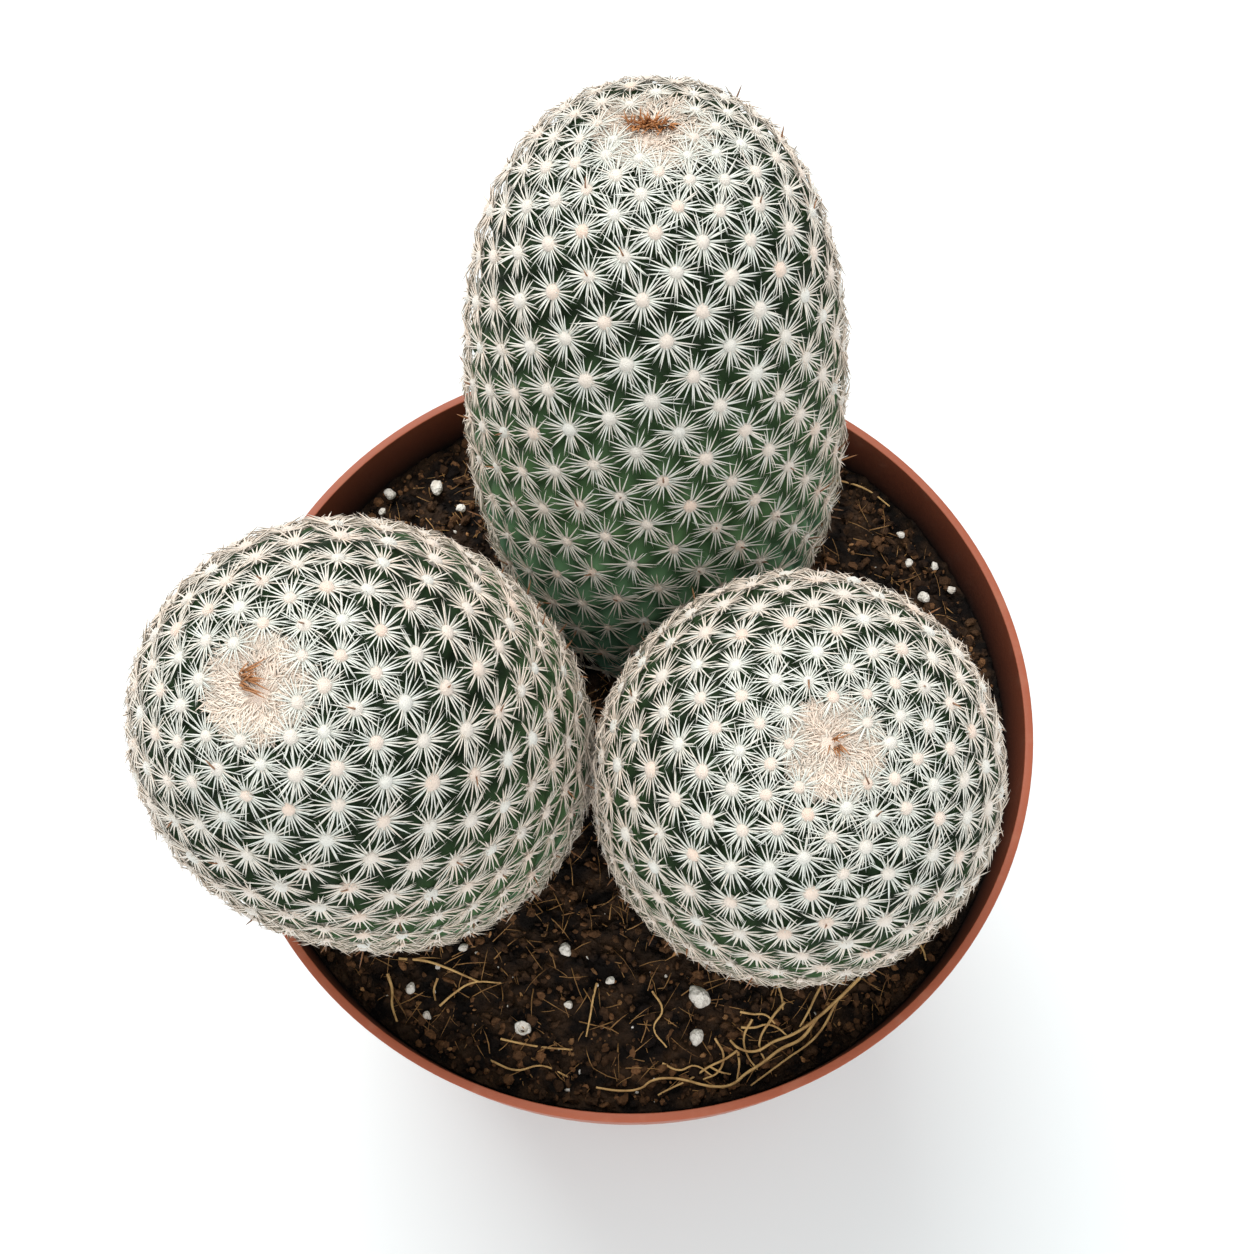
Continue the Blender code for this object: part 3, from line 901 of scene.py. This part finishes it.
def make_crumbs(name, finish, slot, count, smallest, largest, seed, inner=0.0):
    """Loose crumbs on the soil, each a squashed uneven ball lying at its own angle."""
    draw = np.random.default_rng(seed)
    spots = on_soil(draw, count, inner)
    size = smallest + (largest - smallest) * draw.random(count) ** 2.5
    axes = np.linalg.qr(draw.normal(size=(count, 3, 3)))[0]
    axes = axes * np.linalg.det(axes)[:, None, None]
    axes = axes * (size[:, None] * draw.uniform(0.2, 0.65, (count, 3)))[..., None] * MM
    height = SOIL_TOP + soil_height(spots[:, 0], spots[:, 1]) + size * 0.22 * MM
    centres = np.column_stack([spots * 0.99, height])
    crumb = ball_shape(bpy.ops.mesh.primitive_ico_sphere_add, subdivisions=1)
    piece = blob_mesh(name, crumb, centres, axes, draw.random(count), 0.22, draw)
    piece.data.shade_flat()
    settle(piece, name, finish, slot)


def make_fibres(finish, count, seed):
    """Short peat fibres lying every way on the soil."""
    draw = np.random.default_rng(seed)
    spots = on_soil(draw, count) * 0.97
    heading = draw.uniform(0, 2 * math.pi, count)
    level = draw.uniform(-0.12, 0.3, count)
    course = unit(np.column_stack([np.cos(heading), np.sin(heading), level]))
    side = np.column_stack([-np.sin(heading), np.cos(heading), np.full(count, 0.2)])
    height = SOIL_TOP + soil_height(spots[:, 0], spots[:, 1]) + 0.5 * MM
    length = draw.uniform(1.5, 6, count) * MM
    reach = np.linalg.norm(spots + course[:, :2] * length[:, None], axis=1)
    length = np.where(reach < SOIL_EDGE - 0.5 * MM, length, 0.8 * MM)
    fibres = bristle_mesh("fibres", np.column_stack([spots, height]), course, unit(side), length,
                          draw.uniform(0.12, 0.24, count) * MM, draw.uniform(-0.35, 0.35, count),
                          draw.random(count))
    settle(fibres, "peat_fibres", finish, "dry_root")


def make_perlite(finish):
    """One foamed grain for each perlite node: a lumpy, pitted pebble of that node's size and place."""
    grains = sorted(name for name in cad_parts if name.startswith("perlite_"))
    for number, node in enumerate(grains, 1):
        low, high = (Vector(corner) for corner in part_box(node))
        bpy.ops.object.select_all(action="DESELECT")
        bpy.ops.mesh.primitive_ico_sphere_add(subdivisions=5, radius=0.5)
        grain = bpy.context.object
        size = high - low
        grain.scale = size
        grain.location = (low + high) / 2
        bpy.ops.object.transform_apply(location=True, rotation=True, scale=True)
        along = Vector((math.cos(number * GOLDEN_ANGLE), math.sin(number * GOLDEN_ANGLE), 0))
        across = Vector((-along.y, along.x, 0))
        for vert in grain.data.vertices:
            place = vert.co - (low + high) / 2
            vert.co -= across * place.dot(across) * (0.22 + 0.4 * place.dot(along) / size.x)
        lumps = bpy.data.textures.new("grain_lumps", "VORONOI")
        lumps.noise_scale = size.x * 0.45
        apply_modifier(grain, "DISPLACE", texture=lumps, texture_coords="GLOBAL", strength=-size.x * 0.13,
                       mid_level=0.3)
        pits = bpy.data.textures.new("grain_pits", "CLOUDS")
        pits.noise_scale = 0.35 * MM
        apply_modifier(grain, "DISPLACE", texture=pits, texture_coords="GLOBAL", strength=0.12 * MM)
        if number == HOLLOW_GRAIN:
            for vert in grain.data.vertices:
                reach = math.hypot(vert.co.x - (low.x + high.x) / 2, vert.co.y - (low.y + high.y) / 2)
                if vert.co.z > (low.z + high.z) / 2:
                    vert.co.z -= size.z * 0.7 * math.exp(-((reach / (0.28 * size.x)) ** 4))
        bpy.ops.object.shade_smooth()
        settle(grain, f"perlite_grain_{number:02d}", finish, "perlite_white", node)


# Each root: thickness at its start and its end, then its route over the soil, all in millimetres.
ROOTS = (
    (0.52, 0.34, ((33.4, -38.2), (30, -41.4), (26.7, -44.3), (23.6, -46.3), (20.6, -47.5), (17.9, -48.8),
                  (15.5, -48.4), (14.4, -47.2))),
    (0.5, 0.3, ((26.9, -44.2), (24.6, -47), (21.5, -48.6), (18.9, -50.5), (16.7, -51.9), (14.4, -53.5),
                (12, -53.9), (10.2, -53.6), (8, -52.9), (5.5, -52.6), (2.9, -53.1), (1.5, -54),
                (-1.5, -54.4), (-4.9, -54))),
    (0.38, 0.25, ((15.4, -48.6), (13.6, -49.8), (11.4, -50.8), (8.4, -52.7), (5.4, -54.2), (3.9, -55))),
    (0.38, 0.25, ((15.9, -43), (17.6, -43.3), (19.6, -43.6), (20.9, -44.8))),
    (0.38, 0.25, ((16, -45.3), (18, -45.3), (19.6, -44.9), (21.3, -45.5), (22.5, -46.5))),
    (0.36, 0.25, ((21.5, -39), (22, -40.8), (22.1, -42.7))),
    (0.42, 0.28, ((28.2, -38.4), (26.9, -40.8), (25.7, -43.2), (24.5, -45.2))),
    (0.5, 0.3, ((-35.4, -37.6), (-34.7, -39.7), (-34.5, -42.3), (-33.7, -44.6))),
    (0.36, 0.25, ((-27.7, -42.2), (-25.7, -40.4), (-23.1, -38.8), (-18.9, -38.6))),
    (0.42, 0.28, ((-33.9, -35.2), (-30, -35.6), (-26.8, -36.7), (-24.2, -37.7), (-22.2, -38.6))),
    (0.36, 0.24, ((-4.9, -38.9), (-5.4, -41), (-5.8, -43.4), (-6.4, -46.6))),
    (0.36, 0.24, ((-18.7, -47), (-15.4, -47.8), (-12.6, -48), (-8.4, -48.4))),
    (0.36, 0.24, ((31.5, 42.8), (34.7, 42.4), (38.2, 40.6), (41.5, 38))),
    (0.36, 0.25, ((42.2, -32.6), (43, -33.9), (43.3, -35.4))),
    (0.35, 0.22, ((11.4, -50.8), (12.8, -51.6), (14.4, -51.9))),
    (0.38, 0.25, ((15.5, -48.8), (15.6, -50.6), (15.3, -52.6))),
    (0.36, 0.25, ((-28.1, -38.2), (-28.6, -39.8), (-28.3, -41.4))),
    (0.34, 0.22, ((3.2, -40), (4.6, -42.8), (3.4, -45.4), (5.2, -48.2))),
    (0.34, 0.22, ((-20.2, -50), (-16.4, -51.4), (-12.8, -50.8), (-9, -52.2))),
    (0.34, 0.22, ((26, -36.8), (29.4, -37.4), (31.2, -39.2))),
    (0.42, 0.28, ((22.4, -41.6), (20.2, -44.4), (18.6, -47.6), (19.4, -50.2))),
    (0.4, 0.25, ((30.2, -41.2), (26.8, -46.6), (22, -50.2), (17.2, -53.6))),
    (0.36, 0.24, ((12.2, -46.8), (13.4, -49.2), (12.6, -51.6), (10.4, -52.8))),
    (0.36, 0.24, ((17.6, -44.2), (16.4, -46.6), (16.8, -49.2), (18.2, -51.4))),
    (0.34, 0.22, ((4.6, -50.4), (7, -51.4), (9.2, -50.8), (11.8, -52.2))),
)


def make_roots(finish):
    """Dry roots: tapering tubes that lie on the soil along their routes."""
    pieces = []
    for number, (thick, thin, route) in enumerate(ROOTS, 1):
        curve = bpy.data.curves.new(f"dry_root_{number:02d}", "CURVE")
        curve.dimensions = "3D"
        curve.resolution_u = 6
        curve.render_resolution_u = 0
        curve.bevel_depth = thick * MM / 2
        curve.bevel_resolution = 3
        curve.use_fill_caps = True
        spline = curve.splines.new("BEZIER")
        spline.bezier_points.add(len(route) - 1)
        for step, (point, (x, y)) in enumerate(zip(spline.bezier_points, route)):
            share = step / (len(route) - 1)
            width = thick + (thin - thick) * share
            rise = ROOT_LIFT * math.sin(2.1 * step + number) ** 2 + (thick > 0.49) * 0.5
            height = SOIL_TOP + float(soil_height(x * MM, y * MM)) + (width / 2 + 0.55 + rise) * MM
            point.co = (x * MM, y * MM, height)
            point.handle_left_type = "AUTO"
            point.handle_right_type = "AUTO"
            point.radius = width / thick
        root = bpy.data.objects.new(curve.name, curve)
        bpy.context.scene.collection.objects.link(root)
        bpy.ops.object.select_all(action="DESELECT")
        root.select_set(True)
        bpy.context.view_layer.objects.active = root
        bpy.ops.object.convert(target="MESH")
        pieces.append(bpy.context.object)
    stood_for = [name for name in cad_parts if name.startswith("root_")]
    for number, piece in enumerate(pieces):
        piece.data.shade_smooth()
        nodes = stood_for[number:number + 1]
        settle(piece, f"dry_root_{number + 1:02d}", finish, "dry_root", *nodes)


def main():
    set_stage()
    make_pot(moulded_plastic())
    make_soil(peat("damp_peat", WET_PEAT, PEAT_BROWN))
    crumb_peat = peat("crumb_peat", WET_CRUMB, CRUMB_BROWN)
    make_crumbs("soil_crumbs", crumb_peat, "peat", 5200, 0.4, 2.0, 11)
    make_crumbs("edge_crumbs", crumb_peat, "peat", 1600, 0.4, 1.9, 15, inner=0.8)
    make_crumbs("bark_chips", peat("dry_bark", WET_BARK, BARK_BROWN), "dry_root", 1100, 0.25, 1.2, 12)
    root_finish = dry_root("dry_root", ROOT_GOLD, ROOT_BARK)
    make_crumbs("perlite_dust", foamed_perlite("perlite_dust"), "perlite_white", 150, 0.25, 0.9, 14)
    make_fibres(dry_root("peat_fibre", FIBRE_GOLD, FIBRE_BARK), 1100, 13)
    make_perlite(foamed_perlite("foamed_perlite"))
    make_roots(root_finish)
    finishes = {"white": spine_white(), "brown": spine_brown(), "wool": areole_wool()}
    skin = waxy_skin()
    for number, (stem, tuft) in enumerate(STEMS):
        make_skin(stem, skin)
        make_areoles(stem, finishes, 20 + number)
        make_crown(stem, finishes, tuft, 30 + number)


main()
